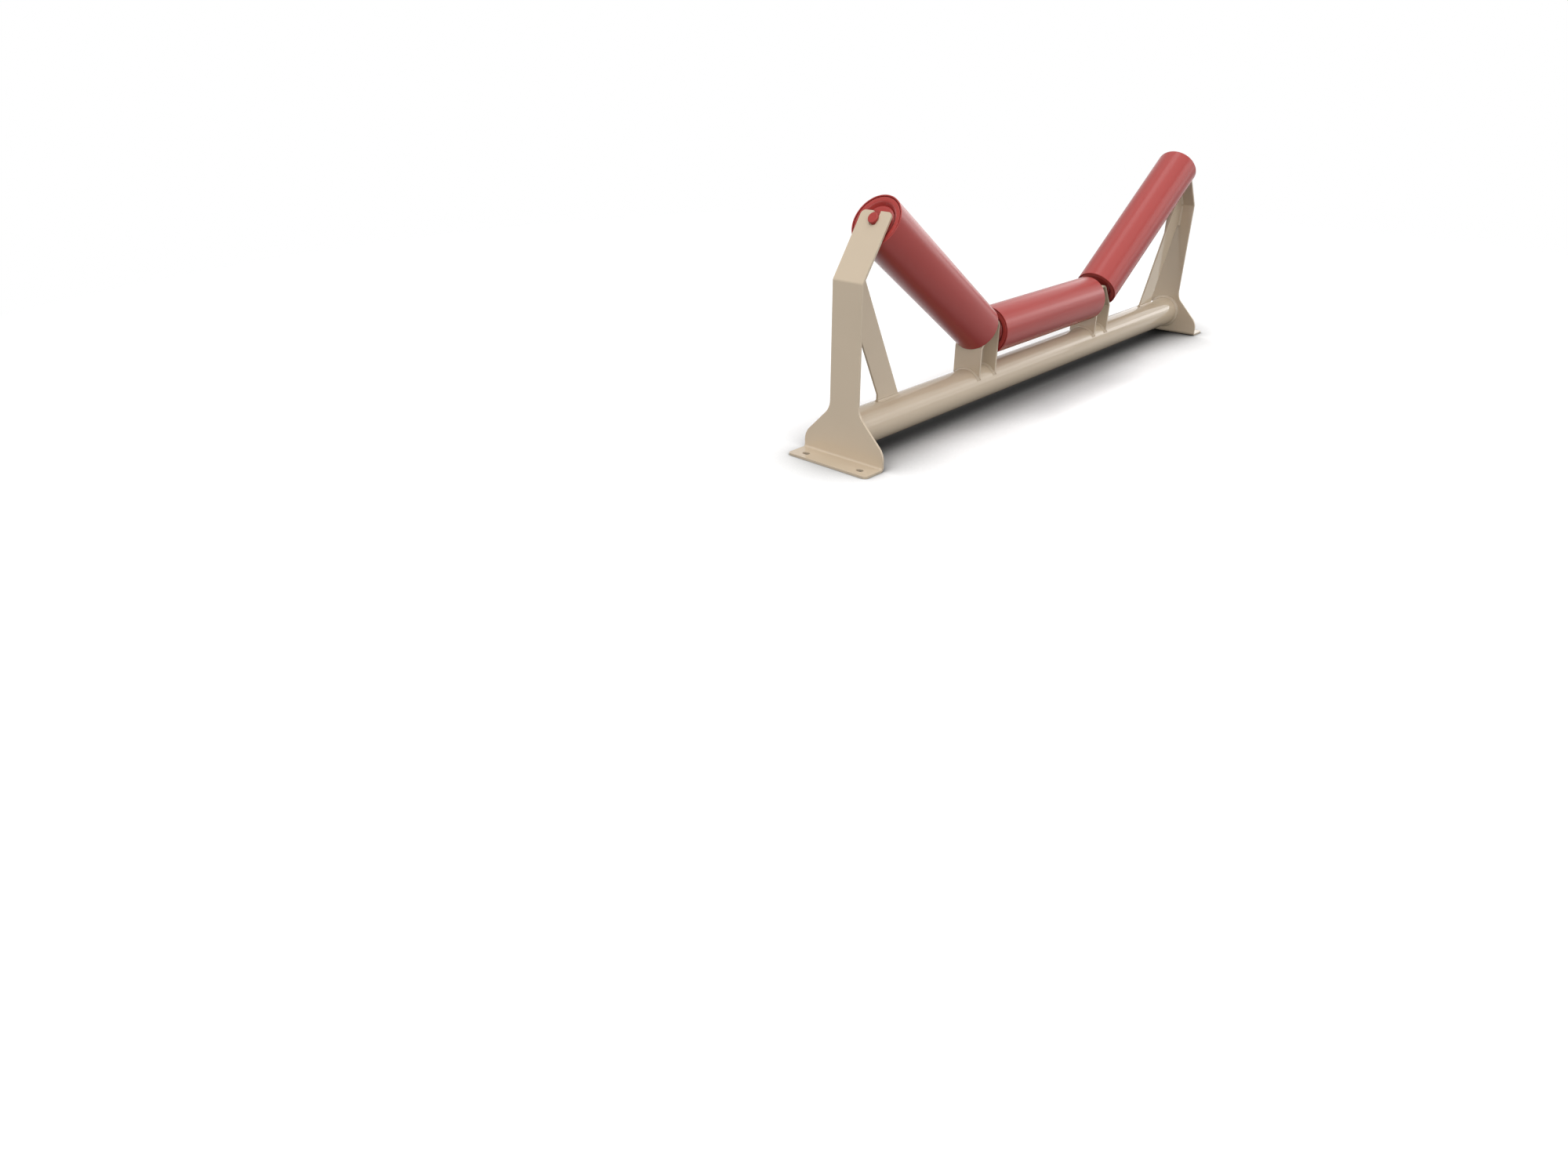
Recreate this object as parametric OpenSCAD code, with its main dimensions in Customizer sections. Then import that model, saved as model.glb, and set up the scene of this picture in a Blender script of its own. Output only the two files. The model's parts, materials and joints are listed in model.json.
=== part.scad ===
// Troughing idler set: three rollers that carry a conveyor belt, on a welded frame.
// X runs along the cross pipe, Y is the belt's direction of travel and Z is up.
// The origin is on the ground, under the middle of the cross pipe.

/* [Rollers] */
// Outside diameter of a roller's tube
roller_d = 108; // [102:1:114]
// Length of a roller's tube
roller_len = 465; // [380:5:530]
// Wall of a roller's tube
tube_wall = 4; // [3.5:0.25:5]
// Rise of the wing rollers above the horizontal, in degrees
trough_angle = 35; // [30:1:40]
// Height of the centre roller's axis above the ground
centre_h = 173; // [168:1:180]
// Height of a wing roller's lower end above the centre roller's axis
wing_lift = 16.5; // [12:0.5:20]
// Distance along the pipe from the centre roller's end to a wing roller's lower end
roller_spacing = 49; // [46:0.5:56]
// Gap between a roller's end and the plate beside it
end_gap = 3; // [2:0.5:4]

/* [Roller ends] */
// Width of the flat rim that is left at the tube's end by the inside chamfer
rim_w = 1.4; // [1:0.1:2]
// Depth of the chamfer inside the tube's end
rim_chamfer = 3.5; // [2:0.25:5]
// Sheet thickness of a bearing housing
cup_t = 3; // [2:0.25:3.5]
// Depth of the housing's rim below the end of the tube
cup_in = 0.8; // [0.5:0.1:2]
// Length of the housing's skirt along the tube
skirt_len = 16; // [12:0.5:20]
// Width of the housing's sloping dish
dish_w = 5.5; // [4:0.5:7]
// Depth of the housing's sloping dish
dish_h = 7; // [6:0.25:8]
// Radius of the pocket that holds the seals
pocket_r = 35.5; // [34:0.5:37]

/* [Bearings] */
// Outside diameter of a bearing
bearing_od = 52; // [50:0.5:54]
// Width of a bearing
bearing_w = 15; // [14:0.5:17]
// Depth of a bearing's outer face below the end of the tube
bearing_in = 15; // [14.5:0.25:18]
// Diameter of a ball
ball_d = 7.9; // [7:0.1:8.4]
// Number of balls in a bearing
ball_count = 9; // [7:1:10]
// Clearance between the balls and the races
ball_clear = 0.05; // [0.02:0.01:0.08]
// Clearance between a ball and its pocket in the cage
cage_clear = 0.2; // [0.1:0.05:0.3]
// Width of the housing's lip behind the bearing
lip_w = 3.5; // [2:0.25:4.5]

/* [Seals] */
// Gap between the end cover's edge and the pocket
cover_gap = 1.5; // [1:0.1:2]
// Depth of the end cover's face below the end of the tube
cover_in = 5; // [4:0.25:5.5]
// Thickness of the end cover
cover_t = 2.5; // [1.5:0.25:3]
// Thickness of a labyrinth fin
fin_t = 1.5; // [1:0.1:1.7]
// Gap between neighbouring fins
fin_gap = 1.5; // [1:0.1:1.7]
// Thickness of the turning seal's base
seal_t = 2; // [1.5:0.25:2.5]
// Thickness of a circlip
clip_t = 1.2; // [1:0.1:1.6]

/* [Shafts] */
// Diameter of a shaft at its bearings
shaft_d = 25; // [24:0.5:26]
// Diameter of a shaft's ends, outside its end covers
shaft_end_d = 21.5; // [20.5:0.5:23.5]
// Diameter of a shaft between its bearings
shaft_mid_d = 30; // [28:0.5:32]
// Width across the two flats that stand in a bracket's slot
flat_w = 16.5; // [15:0.5:18]
// Length of shaft that stands out past the bracket's plate
shaft_out = 6; // [4:0.1:9]
// Clearance of the flats in the slot, on each side
slot_clear = 0.2; // [0.1:0.05:0.4]
// Depth of a wing shaft's seat behind the outer face of its arm
seat_in = 2; // [1:0.25:3]

/* [Cross pipe] */
// Outside diameter of the cross pipe
pipe_d = 80; // [76:1:84]
// Wall of the cross pipe
pipe_wall = 5; // [3.5:0.5:8]
// Height of the cross pipe's axis above the ground
pipe_h = 58; // [57:0.5:64]

/* [End brackets] */
// Thickness of the bracket plates
plate_t = 5; // [4:0.25:6]
// Inside radius of a bend
bend_r = 4; // [2:0.5:6]
// Width of the post and its arm
post_w = 73; // [64:1:84]
// Height of the fold between the post and its arm
fold_h = 356; // [340:1:375]
// Length of arm above the roller's axis
arm_over = 16.5; // [14:0.5:22]
// Radius of the arm's corners
arm_corner_r = 10; // [4:0.5:14]
// Length of the foot along the belt
foot_len = 206; // [196:1:230]
// Reach of the foot past the post's outer face
foot_reach = 53; // [48:1:70]
// Radius of the foot's corners
foot_corner_r = 8; // [3:0.5:14]
// Height above the ground where the flared web starts to narrow
flare_h = 36; // [32:1:44]
// Radius of the curves at both ends of the flare
flare_r = 40; // [15:1:42]
// Distance from the post's outer face to the foundation bolts
bolt_out = 31; // [28:0.5:36]
// Distance between the two foundation bolts of a foot
bolt_spacing = 142; // [130:1:150]
// Width of a slot for a foundation bolt
slot_w = 13; // [11:0.5:15]
// Length of a slot for a foundation bolt
slot_len = 16; // [16:0.5:24]

/* [Braces] */
// Thickness of a brace
brace_t = 5; // [4:0.25:8]
// Width of the flat bar that a brace is cut from
brace_w = 57; // [45:1:64]
// Lean of a brace from the vertical, in degrees
brace_lean = 26.3; // [24:0.1:28]
// Distance from the post to the near end of a brace's foot
brace_foot = 102; // [92:1:112]
// Height of the blunt end of a brace's foot
brace_blunt = 15; // [8:1:22]
// Width of the blunt end of a brace at the post
brace_nib = 10; // [6:0.5:14]

/* [Inner brackets] */
// Width of an inner bracket
saddle_w = 70; // [60:1:73]
// Outside radius of the fold over the top
top_fold_r = 20; // [18:0.5:22]
// Height where the leaning leg turns vertical
leg_fold_h = 150; // [135:1:156]

/* [Welds] */
// Size of the fillet around the cross pipe's ends
ring_weld = 6; // [3:0.5:7]
// Size of the fillets at the braces
brace_weld = 4; // [2:0.5:6]
// Size of the fillets at the saddles
saddle_weld = 4; // [2:0.5:6]

/* [Hidden] */
$fn = 96;
arc_step = 5;
over = 1;
reach = 1000;
corner_past = 0.02;
weld_hollow = 1.3;
weld_blank = 1.2;
weld_sink = 0.6;

// Rollers
roller_r = roller_d / 2;
bore_r = roller_r - tube_wall;
shaft_r = shaft_d / 2;
shaft_end_r = shaft_end_d / 2;
shaft_end = end_gap + plate_t + shaft_out;
across = [cos(trough_angle), sin(trough_angle)];
along = [-sin(trough_angle), cos(trough_angle)];
wing_low = [roller_len / 2 + roller_spacing, centre_h + wing_lift];
wing_high = wing_low + across * roller_len;

// Bearings and seals
ball_r = ball_d / 2;
pitch_r = (bearing_od / 2 + shaft_r) / 2;
bearing_mid = bearing_in + bearing_w / 2;
groove_r = ball_r + ball_clear;
shoulder = 0.26 * ball_d;
cage_half = shoulder - 0.4;
cage_side = 1;
clip_depth = 0.9;
clip_out = 3.5;
clip_gap = 7;
cover_r = pocket_r - cover_gap;
fin_pitch = fin_t + fin_gap;
fin_space = bearing_in - seal_t - cover_in - cover_t;
fin_len = fin_space * 0.76;
hub_t = 3;
seal_bore_r = shaft_r + clip_out + fin_gap;

// Shaft in its slot: the corners of the flats rest on the slot's round bottom
slot_r = flat_w / 2 + slot_clear;
corner_drop = sqrt(shaft_end_r * shaft_end_r - flat_w * flat_w / 4);
seat_clear = 0.05;
slot_drop = corner_drop - sqrt(slot_r * slot_r - flat_w * flat_w / 4) + seat_clear;
flat_play = 0.5;

// Cross pipe
pipe_r = pipe_d / 2;
pipe_top = pipe_h + pipe_r;

// End bracket: the arm's outer face lies past the wing roller's upper end
arm_seat = wing_high + across * (end_gap + plate_t);
arm_axis = (arm_seat[1] - fold_h) / cos(trough_angle);
arm_len = arm_axis + arm_over;
post_x = arm_seat[0] + (arm_seat[1] - fold_h) * tan(trough_angle);
post_in = post_x - plate_t;
fold = [post_x, fold_h];
fold_shift = plate_t * tan(trough_angle / 2);
fold_in = [post_in, fold_h - fold_shift];
foot_half = foot_len / 2;
post_half = post_w / 2;

// Brace: the upper edge runs from the pipe to the arm
brace_dir = [sin(brace_lean), cos(brace_lean)];
brace_side = [-cos(brace_lean), sin(brace_lean)];
brace_low = [post_in - brace_foot, pipe_top + brace_blunt];
brace_up = brace_low + brace_side * brace_w;
brace_top = crossing(brace_up, brace_dir, fold_in, along);
brace_toe = crossing(brace_up, brace_dir, [0, pipe_top], [1, 0]);
nib_h = brace_low[1] + (brace_foot - brace_nib) / tan(brace_lean);
fold_relief = 3;

// Inner bracket: one leg beside the centre roller, one square to the wing roller
leg_x = roller_len / 2 + end_gap;
lean_face = wing_low - across * end_gap;
lean_x = lean_face[0] + (lean_face[1] - leg_fold_h) * tan(trough_angle);
saddle_half = asin(saddle_w / pipe_d);

FRAME = ["cross_pipe", "left_end_bracket", "right_end_bracket", "left_brace", "right_brace",
    "left_inner_bracket", "right_inner_bracket", "pipe_end_welds", "left_brace_welds",
    "right_brace_welds", "left_saddle_welds", "right_saddle_welds"];
ROLLERS = ["left_wing", "centre", "right_wing"];
PIECES = ["tube", "bearing_housings", "outer_races", "balls", "ball_cages", "turning_seals",
    "shaft", "inner_races", "end_covers", "circlips"];

// ---- Outlines ----

function unit(v) = v / norm(v);
function cross2(a, b) = a[0] * b[1] - a[1] * b[0];

// Where the line through p along d meets the line through q along e
function crossing(p, d, q, e) = p + d * cross2(q - p, e) / cross2(d, e);

// Height of the leaning leg's face at x, on a line that lies depth behind the roller's side
function lean_h(x, depth) =
    lean_face[1] - (depth + (x - lean_face[0]) * across[0]) / across[1];

// Points of the arc of radius r that rounds corner b between its neighbours a and c
function rounded_corner(a, b, c, r) =
    let (u = unit(a - b), v = unit(c - b), half = acos(u * v) / 2)
    let (centre = b + unit(u + v) * r / sin(half))
    let (from = b + u * r / tan(half) - centre, to = b + v * r / tan(half) - centre)
    let (start = atan2(from[1], from[0]), turn = atan2(cross2(from, to), from * to))
    let (steps = ceil(abs(turn) / arc_step))
    [for (i = [0:steps]) centre + r * [cos(start + turn * i / steps), sin(start + turn * i / steps)]];

// Outline through corners [x, y, radius], each rounded to its radius
function rounded_outline(corners) =
    let (n = len(corners), at = [for (c = corners) [c[0], c[1]]])
    [for (i = [0:n - 1])
        each corners[i][2] > 0
            ? rounded_corner(at[(i + n - 1) % n], at[i], at[(i + 1) % n], corners[i][2])
            : [at[i]]];

// ---- Places ----

module mirrored(side) {
    mirror([side < 0 ? 1 : 0, 0, 0]) children();
}

// An outline in X and Z, given a width along Y
module across_belt(width) {
    rotate([90, 0, 0]) linear_extrude(width, center = true) children();
}

// An outline in Y and Z, given a length along X from the origin
module along_pipe(length) {
    rotate([90, 0, 90]) linear_extrude(length) children();
}

// A turned shape whose axis is the cross pipe's, local X up and local Z along X
module around_pipe() {
    translate([0, 0, pipe_h]) rotate([0, -90, 0]) mirror([0, 0, 1]) children();
}

// The arm's own frame: X out through the plate, Z up the arm from the fold
module on_arm() {
    translate([post_x, 0, fold_h]) rotate([0, -trough_angle, 0]) children();
}

// A roller's own frame: Z along its axis, 0 at the tube's first end
module on_wing() {
    translate([wing_low[0], 0, wing_low[1]]) rotate([0, 90 - trough_angle, 0]) children();
}

module on_centre() {
    translate([-roller_len / 2, 0, centre_h]) rotate([0, 90, 0]) children();
}

module on_roller(name) {
    if (name == "centre") on_centre() children();
    if (name == "left_wing") mirrored(-1) on_wing() children();
    if (name == "right_wing") on_wing() children();
}

module both_ends() {
    children();
    translate([0, 0, roller_len]) mirror([0, 0, 1]) children();
}

// ---- Frame ----

module cross_pipe() {
    color("Tan") translate([-post_in, 0, pipe_h]) rotate([0, 90, 0]) difference() {
        cylinder(h = 2 * post_in, r = pipe_r);
        translate([0, 0, -over]) cylinder(h = 2 * post_in + 2 * over, r = pipe_r - pipe_wall);
    }
}

// Open slot for a shaft with two flats: the shaft's axis is at the origin and the slot opens upwards
module shaft_slot() {
    translate([0, -slot_drop]) circle(slot_r);
    translate([-slot_r, -slot_drop]) square([2 * slot_r, reach]);
}

// The same slot where its bottom is filled up to a round seat for the shaft
module seated_slot() {
    intersection() {
        shaft_slot();
        union() {
            circle(shaft_end_r + seat_clear);
            translate([-slot_r, 0]) square([2 * slot_r, reach]);
        }
    }
}

// The folded sheet of an end bracket, seen along the belt
module end_bracket_fold() {
    arm_tip = fold + along * arm_len;
    arm_tip_in = arm_tip - across * plate_t;
    polygon(rounded_outline([
        [post_x + foot_reach, 0, 0],
        [post_in, 0, bend_r + plate_t],
        [fold_in[0], fold_in[1], bend_r],
        [arm_tip_in[0], arm_tip_in[1], 0],
        [arm_tip[0], arm_tip[1], 0],
        [fold[0], fold[1], bend_r + plate_t],
        [post_x, plate_t, bend_r],
        [post_x + foot_reach, plate_t, 0]
    ]));
}

// The post with its flared web, seen along the pipe
module web_outline() {
    narrow_h = flare_h + foot_half - post_half;
    polygon(rounded_outline([
        [foot_half, -over, 0],
        [foot_half, flare_h, flare_r],
        [post_half, narrow_h, flare_r],
        [post_half, reach, 0],
        [-post_half, reach, 0],
        [-post_half, narrow_h, flare_r],
        [-foot_half, flare_h, flare_r],
        [-foot_half, -over, 0]
    ]));
}

// The foot seen from above, with its two outer corners rounded
module foot_outline() {
    polygon(rounded_outline([
        [0, -foot_half, 0],
        [post_x + foot_reach, -foot_half, foot_corner_r],
        [post_x + foot_reach, foot_half, foot_corner_r],
        [0, foot_half, 0]
    ]));
}

module bolt_slot() {
    shift = (slot_len - slot_w) / 2;
    for (k = [-1, 1]) translate([0, k * shift]) circle(d = slot_w);
    square([slot_w, 2 * shift], center = true);
}

// What is cut away to round a corner of the arm. The circle stands a little past the arm's edges,
// so that it crosses them and isn't tangent to them
module arm_corner_cut() {
    translate([post_half - arm_corner_r, arm_len - arm_corner_r]) difference() {
        square(arm_corner_r + over);
        circle(arm_corner_r + corner_past);
    }
}

module end_bracket() {
    difference() {
        intersection() {
            across_belt(foot_len) end_bracket_fold();
            along_pipe(reach) web_outline();
            translate([0, 0, -over]) linear_extrude(reach) foot_outline();
        }
        for (k = [-1, 1]) translate([post_x + bolt_out, k * bolt_spacing / 2, -over])
            linear_extrude(plate_t + 2 * over) bolt_slot();
        on_arm() translate([-seat_in, 0, 0]) along_pipe(seat_in + over)
            translate([0, arm_axis]) shaft_slot();
        on_arm() translate([-plate_t - over, 0, 0]) {
            along_pipe(plate_t + 2 * over) translate([0, arm_axis]) seated_slot();
            along_pipe(plate_t + 2 * over) arm_corner_cut();
            along_pipe(plate_t + 2 * over) mirror([1, 0]) arm_corner_cut();
        }
    }
}

// Flat bar on edge: its foot sits on the pipe, its head on the post and the arm
module brace() {
    arm_corner = fold_in + along * fold_relief;
    toe = crossing(brace_up, brace_dir, [0, pipe_h], [1, 0]);
    difference() {
        across_belt(brace_t) polygon([
            [post_in - brace_foot, pipe_h],
            brace_low,
            [post_in - brace_nib, nib_h],
            [post_in, nib_h],
            [post_in, fold_in[1] - fold_relief],
            arm_corner,
            brace_top,
            toe
        ]);
        around_pipe() cylinder(h = reach, r = pipe_r);
    }
}

// The folded sheet of an inner bracket, seen along the belt
module inner_bracket_fold() {
    leg_in = leg_x + plate_t;
    lean_in = lean_x - plate_t;
    polygon(rounded_outline([
        [leg_x, pipe_h, 0],
        [leg_x, lean_h(leg_x, 0), top_fold_r],
        [lean_x, leg_fold_h, bend_r + plate_t],
        [lean_x, pipe_h, 0],
        [lean_in, pipe_h, 0],
        [lean_in, lean_h(lean_in, plate_t), bend_r],
        [leg_in, lean_h(leg_in, plate_t), top_fold_r - plate_t],
        [leg_in, pipe_h, 0]
    ]));
}

module inner_bracket() {
    difference() {
        across_belt(saddle_w) inner_bracket_fold();
        around_pipe() cylinder(h = reach, r = pipe_r);
        translate([leg_x - over, 0, centre_h]) along_pipe(top_fold_r + 2 * over) shaft_slot();
        on_wing() translate([0, 0, -end_gap - top_fold_r - over]) linear_extrude(top_fold_r + 2 * over)
            rotate(90) shaft_slot();
    }
}

// ---- Welds ----

// Section of a hollow fillet weld: its walls lie along the axes, and its face is an arc that meets
// each of them a size away from the corner
module weld_section(size) {
    centre = weld_hollow * size;
    difference() {
        square(weld_blank * size);
        translate([centre, centre]) circle(norm([centre, centre - size]));
    }
}

// Bead around the pipe at x, from -half to +half degrees off the top, on the side that face names
module bead_around_pipe(x, half, size, face) {
    around_pipe() translate([0, 0, x]) mirror([0, 0, face < 0 ? 1 : 0]) rotate(-half)
        rotate_extrude(angle = 2 * half) translate([pipe_r, 0]) weld_section(size);
}

module pipe_end_weld() {
    around_pipe() translate([0, 0, post_in]) mirror([0, 0, 1])
        rotate_extrude() translate([pipe_r, 0]) weld_section(ring_weld);
}

module saddle_welds() {
    bead_around_pipe(leg_x, saddle_half, saddle_weld, -1);
    bead_around_pipe(leg_x + plate_t, saddle_half, saddle_weld, 1);
    bead_around_pipe(lean_x - plate_t, saddle_half, saddle_weld, -1);
    bead_around_pipe(lean_x, saddle_half, saddle_weld, 1);
}

// The three beads on one side of a brace: on the pipe, up the post and up the arm
module brace_welds_one_side() {
    side_y = brace_t / 2;
    foot_h = sqrt(pipe_r * pipe_r - side_y * side_y);
    translate([brace_toe[0], 0, pipe_h]) along_pipe(brace_low[0] - brace_toe[0]) difference() {
        translate([side_y, foot_h - weld_sink]) weld_section(brace_weld + weld_sink);
        circle(pipe_r);
    }
    translate([post_in, side_y, nib_h]) linear_extrude(fold_in[1] - fold_relief - nib_h)
        mirror([1, 0]) weld_section(brace_weld);
    arm_run = norm(brace_top - fold_in) - fold_relief;
    on_arm() translate([-plate_t, side_y, fold_shift + fold_relief]) linear_extrude(arm_run)
        mirror([1, 0]) weld_section(brace_weld);
}

module brace_welds() {
    brace_welds_one_side();
    mirror([0, 1, 0]) brace_welds_one_side();
}

// ---- Turning parts of a roller, in the roller's own frame ----

module tube() {
    chamfer_r = roller_r - rim_w;
    edge = 0.5;
    rotate_extrude() polygon([
        [chamfer_r, 0],
        [roller_r - edge, 0],
        [roller_r, edge],
        [roller_r, roller_len - edge],
        [roller_r - edge, roller_len],
        [chamfer_r, roller_len],
        [bore_r, roller_len - rim_chamfer],
        [bore_r, rim_chamfer]
    ]);
}

// Pressed cup: skirt in the tube, dished face, seal pocket and bearing seat in one sheet
module bearing_housing() {
    seat_r = bearing_od / 2;
    seat_end = bearing_in + bearing_w;
    slope = unit([dish_w, -dish_h]);
    slope_back = [pocket_r, cup_in + dish_h] + cup_t * [-slope[1], slope[0]];
    face_back = crossing(slope_back, slope, [0, cup_in + cup_t], [1, 0]);
    wall_back = crossing(slope_back, slope, [pocket_r + cup_t, 0], [0, 1]);
    rotate_extrude() polygon(rounded_outline([
        [bore_r, cup_in + skirt_len, 0],
        [bore_r, cup_in, 1.5],
        [pocket_r + dish_w, cup_in, 5],
        [pocket_r, cup_in + dish_h, 2],
        [pocket_r, bearing_in, 0],
        [seat_r, bearing_in, 0],
        [seat_r, seat_end, 0],
        [seat_r - lip_w, seat_end, 0],
        [seat_r - lip_w, seat_end + cup_t, 0],
        [seat_r + cup_t, seat_end + cup_t, 3],
        [seat_r + cup_t, bearing_in + cup_t, 1],
        [pocket_r + cup_t, bearing_in + cup_t, 3],
        [wall_back[0], wall_back[1], 1],
        [face_back[0], face_back[1], 3],
        [bore_r - cup_t, cup_in + cup_t, 1],
        [bore_r - cup_t, cup_in + skirt_len, 0]
    ]));
}

// A bearing race between two radii, with the balls' groove turned in it
module race(inner, outer) {
    rotate_extrude() difference() {
        translate([inner, bearing_in]) square([outer - inner, bearing_w]);
        translate([pitch_r, bearing_mid]) circle(groove_r);
    }
}

module outer_race() {
    race(pitch_r + shoulder, bearing_od / 2);
}

module balls() {
    for (i = [0:ball_count - 1]) rotate(i * 360 / ball_count)
        translate([pitch_r, 0, bearing_mid]) sphere(ball_r);
}

module ball_cage() {
    pocket = ball_r + cage_clear;
    half_w = pocket + cage_side;
    difference() {
        rotate_extrude() translate([pitch_r - cage_half, bearing_mid - half_w])
            square([2 * cage_half, 2 * half_w]);
        for (i = [0:ball_count - 1]) rotate(i * 360 / ball_count)
            translate([pitch_r - cage_half - over, 0, bearing_mid]) rotate([0, 90, 0])
                cylinder(h = 2 * cage_half + 2 * over, r = pocket);
    }
}

// Seal half that is pressed in the housing's pocket and turns with it
module turning_seal() {
    base = bearing_in - seal_t;
    rotate_extrude() {
        translate([seal_bore_r, base]) square([pocket_r - seal_bore_r, seal_t]);
        for (k = [1, 3]) translate([cover_r - k * fin_pitch - fin_t, base - fin_len])
            square([fin_t, fin_len]);
    }
}

// ---- Parts that stand still with the shaft, in the roller's own frame ----

module shaft() {
    chamfer = 0.7;
    end_step = cover_in - 1;
    clip_from = bearing_in - clip_t;
    clip_bed = shaft_r - clip_depth;
    mid_from = bearing_in + bearing_w;
    half = [
        [0, -shaft_end],
        [shaft_end_r - chamfer, -shaft_end],
        [shaft_end_r, -shaft_end + chamfer],
        [shaft_end_r, end_step],
        [shaft_r, end_step],
        [shaft_r, clip_from],
        [clip_bed, clip_from],
        [clip_bed, bearing_in],
        [shaft_r, bearing_in],
        [shaft_r, mid_from],
        [shaft_mid_d / 2, mid_from]
    ];
    last = len(half) - 1;
    far_half = [for (i = [last:-1:0]) [half[i][0], roller_len - half[i][1]]];
    difference() {
        rotate_extrude() polygon(concat(half, far_half));
        both_ends() for (k = [-1, 1])
            translate([-shaft_d, k * flat_w / 2 - (k < 0 ? shaft_d : 0), -end_gap - plate_t - flat_play])
                cube([2 * shaft_d, shaft_d, plate_t + 2 * flat_play]);
    }
}

module inner_race() {
    race(shaft_r, pitch_r - shoulder);
}

// End cover that stands on the shaft, with the seal's standing fins behind it
module end_cover() {
    back = cover_in + cover_t;
    rotate_extrude() {
        translate([shaft_r, cover_in]) square([cover_r - shaft_r, cover_t]);
        translate([shaft_r, back]) square([hub_t, bearing_in - clip_t - back]);
        for (k = [0, 2, 4]) translate([cover_r - k * fin_pitch - fin_t, back]) square([fin_t, fin_len]);
    }
}

module circlip() {
    rise = clip_depth + clip_out;
    translate([0, 0, bearing_in - clip_t]) linear_extrude(clip_t) difference() {
        circle(shaft_r + clip_out - clip_depth);
        circle(shaft_r - clip_depth);
        translate([0, -clip_gap / 2]) square([shaft_r + rise, clip_gap]);
    }
}

// One kind of piece of a roller, by name
module roller_piece(piece) {
    if (piece == "tube") color("IndianRed") tube();
    if (piece == "bearing_housings") color("IndianRed") both_ends() bearing_housing();
    if (piece == "outer_races") color("Silver") both_ends() outer_race();
    if (piece == "balls") color("Gainsboro") both_ends() balls();
    if (piece == "ball_cages") color("DimGray") both_ends() ball_cage();
    if (piece == "turning_seals") color("DarkSlateGray") both_ends() turning_seal();
    if (piece == "shaft") color("IndianRed") shaft();
    if (piece == "inner_races") color("Silver") both_ends() inner_race();
    if (piece == "end_covers") color("IndianRed") both_ends() end_cover();
    if (piece == "circlips") color("SlateGray") both_ends() circlip();
}

// ---- Nodes ----

module left_end_bracket() {
    color("Tan") mirrored(-1) end_bracket();
}

module right_end_bracket() {
    color("Tan") end_bracket();
}

module left_brace() {
    color("Tan") mirrored(-1) brace();
}

module right_brace() {
    color("Tan") brace();
}

module left_inner_bracket() {
    color("Tan") mirrored(-1) inner_bracket();
}

module right_inner_bracket() {
    color("Tan") inner_bracket();
}

module pipe_end_welds() {
    color("BurlyWood") for (side = [-1, 1]) mirrored(side) pipe_end_weld();
}

module left_brace_welds() {
    color("BurlyWood") mirrored(-1) brace_welds();
}

module right_brace_welds() {
    color("BurlyWood") brace_welds();
}

module left_saddle_welds() {
    color("BurlyWood") mirrored(-1) saddle_welds();
}

module right_saddle_welds() {
    color("BurlyWood") saddle_welds();
}

cross_pipe();
left_end_bracket();
right_end_bracket();
left_brace();
right_brace();
left_inner_bracket();
right_inner_bracket();
pipe_end_welds();
left_brace_welds();
right_brace_welds();
left_saddle_welds();
right_saddle_welds();
for (r = ROLLERS) for (p = PIECES)
    on_roller(r) roller_piece(p);
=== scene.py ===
import json
import math

import bmesh
import bpy
from mathutils import Matrix, Vector

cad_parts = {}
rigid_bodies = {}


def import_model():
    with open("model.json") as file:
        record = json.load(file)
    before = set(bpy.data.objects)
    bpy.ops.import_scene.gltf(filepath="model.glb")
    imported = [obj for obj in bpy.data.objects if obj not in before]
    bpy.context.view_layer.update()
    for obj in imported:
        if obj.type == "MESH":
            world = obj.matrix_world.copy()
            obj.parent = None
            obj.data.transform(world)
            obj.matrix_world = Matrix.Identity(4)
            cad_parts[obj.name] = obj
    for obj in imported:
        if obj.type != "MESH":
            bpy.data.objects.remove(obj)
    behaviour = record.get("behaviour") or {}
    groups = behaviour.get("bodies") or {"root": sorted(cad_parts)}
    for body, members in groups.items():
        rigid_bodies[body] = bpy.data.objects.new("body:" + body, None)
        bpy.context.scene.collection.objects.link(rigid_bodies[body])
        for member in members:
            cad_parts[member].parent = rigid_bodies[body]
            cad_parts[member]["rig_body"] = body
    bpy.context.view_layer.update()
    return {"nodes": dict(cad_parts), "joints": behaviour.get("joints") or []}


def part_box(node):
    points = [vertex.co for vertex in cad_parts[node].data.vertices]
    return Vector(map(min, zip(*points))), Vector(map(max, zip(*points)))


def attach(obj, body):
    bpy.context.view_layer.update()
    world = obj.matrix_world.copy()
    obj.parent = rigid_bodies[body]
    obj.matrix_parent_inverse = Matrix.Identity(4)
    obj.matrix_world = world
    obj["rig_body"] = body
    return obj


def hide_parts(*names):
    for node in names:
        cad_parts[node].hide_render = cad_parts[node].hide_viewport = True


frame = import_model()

MM = 0.001

# ---- Sizes read from the frame ----

pipe_low, pipe_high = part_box("cross_pipe")
tube_low, tube_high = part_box("centre_tube")
brace_low, brace_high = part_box("right_brace")
saddle_low, saddle_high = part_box("right_inner_bracket")

PIPE_R = (pipe_high.z - pipe_low.z) / 2
PIPE_H = (pipe_high.z + pipe_low.z) / 2
PIPE_END = pipe_high.x
ROLLER_R = (tube_high.z - tube_low.z) / 2
ROLLER_LEN = tube_high.x - tube_low.x
BRACE_T = brace_high.y - brace_low.y
SADDLE_W = saddle_high.y - saddle_low.y
SADDLE_ANGLE = math.asin(SADDLE_W / 2 / PIPE_R)
LEG_X = saddle_low.x
LEAN_X = saddle_high.x

# ---- Sizes of the plates and the pipe ----

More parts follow.
